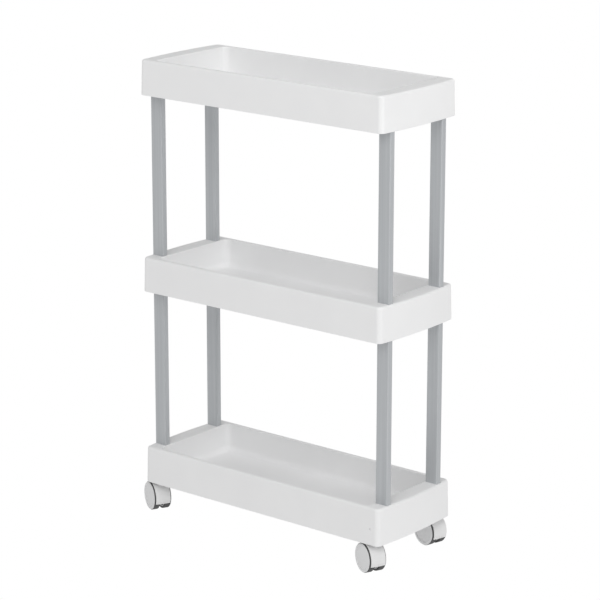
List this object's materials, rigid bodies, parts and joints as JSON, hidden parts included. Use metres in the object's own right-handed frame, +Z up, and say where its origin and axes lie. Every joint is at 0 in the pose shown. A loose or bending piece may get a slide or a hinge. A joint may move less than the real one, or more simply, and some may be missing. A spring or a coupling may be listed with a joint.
{
  "type": "rolling utility cart",
  "caption": "Slim rolling utility cart: shallow white trays on rectangular metal posts, standing on small swivelling twin-wheel casters.",
  "frame": {"origin": "on the floor, under the middle of the trays, midway between the four caster swivel axes", "axes": "+Z up, +X along the trays towards the right end, -Y towards the front"},
  "size_m": [0.4115, 0.1625, 0.6121],
  "materials": {
    "tray_plastic": "satin injection-moulded polypropylene, white",
    "post_aluminium": "satin silver, extruded",
    "caster_plastic": "smooth white nylon",
    "tread_rubber": "soft grey tread",
    "steel": "zinc-plated"
  },
  "bodies": {
    "cart": {"top_tray": "tray_plastic", "middle_tray": "tray_plastic", "bottom_tray": "tray_plastic", "lower_post_front_left": "post_aluminium", "lower_post_front_right": "post_aluminium", "lower_post_back_left": "post_aluminium", "lower_post_back_right": "post_aluminium", "upper_post_front_left": "post_aluminium", "upper_post_front_right": "post_aluminium", "upper_post_back_left": "post_aluminium", "upper_post_back_right": "post_aluminium", "front_left_caster_grip_ring": "steel", "front_right_caster_grip_ring": "steel", "back_left_caster_grip_ring": "steel", "back_right_caster_grip_ring": "steel"},
    "front_left_caster": {"front_left_caster_hood": "caster_plastic", "front_left_caster_stem": "steel", "front_left_caster_axle": "steel"},
    "front_left_left_wheel_set": {"front_left_left_wheel": "caster_plastic", "front_left_left_tread": "tread_rubber"},
    "front_left_right_wheel_set": {"front_left_right_wheel": "caster_plastic", "front_left_right_tread": "tread_rubber"},
    "front_right_caster": {"front_right_caster_hood": "caster_plastic", "front_right_caster_stem": "steel", "front_right_caster_axle": "steel"},
    "front_right_left_wheel_set": {"front_right_left_wheel": "caster_plastic", "front_right_left_tread": "tread_rubber"},
    "front_right_right_wheel_set": {"front_right_right_wheel": "caster_plastic", "front_right_right_tread": "tread_rubber"},
    "back_left_caster": {"back_left_caster_hood": "caster_plastic", "back_left_caster_stem": "steel", "back_left_caster_axle": "steel"},
    "back_left_left_wheel_set": {"back_left_left_wheel": "caster_plastic", "back_left_left_tread": "tread_rubber"},
    "back_left_right_wheel_set": {"back_left_right_wheel": "caster_plastic", "back_left_right_tread": "tread_rubber"},
    "back_right_caster": {"back_right_caster_hood": "caster_plastic", "back_right_caster_stem": "steel", "back_right_caster_axle": "steel"},
    "back_right_left_wheel_set": {"back_right_left_wheel": "caster_plastic", "back_right_left_tread": "tread_rubber"},
    "back_right_right_wheel_set": {"back_right_right_wheel": "caster_plastic", "back_right_right_tread": "tread_rubber"}
  },
  "joints": [
    {"name": "front_left_swivel", "type": "hinge", "parent": "cart", "child": "front_left_caster", "pos_m": [-0.1812, -0.064, 0.0425], "axis": [0, 0, 1], "continuous": true},
    {"name": "front_left_left_wheel_spin", "type": "hinge", "parent": "front_left_caster", "child": "front_left_left_wheel_set", "pos_m": [-0.18929, -0.06005, 0.0192], "axis": [0.4384, 0.8988, 0], "continuous": true},
    {"name": "front_left_right_wheel_spin", "type": "hinge", "parent": "front_left_caster", "child": "front_left_right_wheel_set", "pos_m": [-0.18929, -0.06005, 0.0192], "axis": [0.4384, 0.8988, 0], "continuous": true},
    {"name": "front_right_swivel", "type": "hinge", "parent": "cart", "child": "front_right_caster", "pos_m": [0.1812, -0.064, 0.0425], "axis": [0, 0, 1], "continuous": true},
    {"name": "front_right_left_wheel_spin", "type": "hinge", "parent": "front_right_caster", "child": "front_right_left_wheel_set", "pos_m": [0.17292, -0.06048, 0.0192], "axis": [0.3907, 0.9205, 0], "continuous": true},
    {"name": "front_right_right_wheel_spin", "type": "hinge", "parent": "front_right_caster", "child": "front_right_right_wheel_set", "pos_m": [0.17292, -0.06048, 0.0192], "axis": [0.3907, 0.9205, 0], "continuous": true},
    {"name": "back_left_swivel", "type": "hinge", "parent": "cart", "child": "back_left_caster", "pos_m": [-0.1812, 0.064, 0.0425], "axis": [0, 0, 1], "continuous": true},
    {"name": "back_left_left_wheel_spin", "type": "hinge", "parent": "back_left_caster", "child": "back_left_left_wheel_set", "pos_m": [-0.18989, 0.06633, 0.0192], "axis": [0.2588, 0.9659, 0], "continuous": true},
    {"name": "back_left_right_wheel_spin", "type": "hinge", "parent": "back_left_caster", "child": "back_left_right_wheel_set", "pos_m": [-0.18989, 0.06633, 0.0192], "axis": [0.2588, 0.9659, 0], "continuous": true},
    {"name": "back_right_swivel", "type": "hinge", "parent": "cart", "child": "back_right_caster", "pos_m": [0.1812, 0.064, 0.0425], "axis": [0, 0, 1], "continuous": true},
    {"name": "back_right_left_wheel_spin", "type": "hinge", "parent": "back_right_caster", "child": "back_right_left_wheel_set", "pos_m": [0.17247, 0.06618, 0.0192], "axis": [0.2419, 0.9703, 0], "continuous": true},
    {"name": "back_right_right_wheel_spin", "type": "hinge", "parent": "back_right_caster", "child": "back_right_right_wheel_set", "pos_m": [0.17247, 0.06618, 0.0192], "axis": [0.2419, 0.9703, 0], "continuous": true}
  ]
}
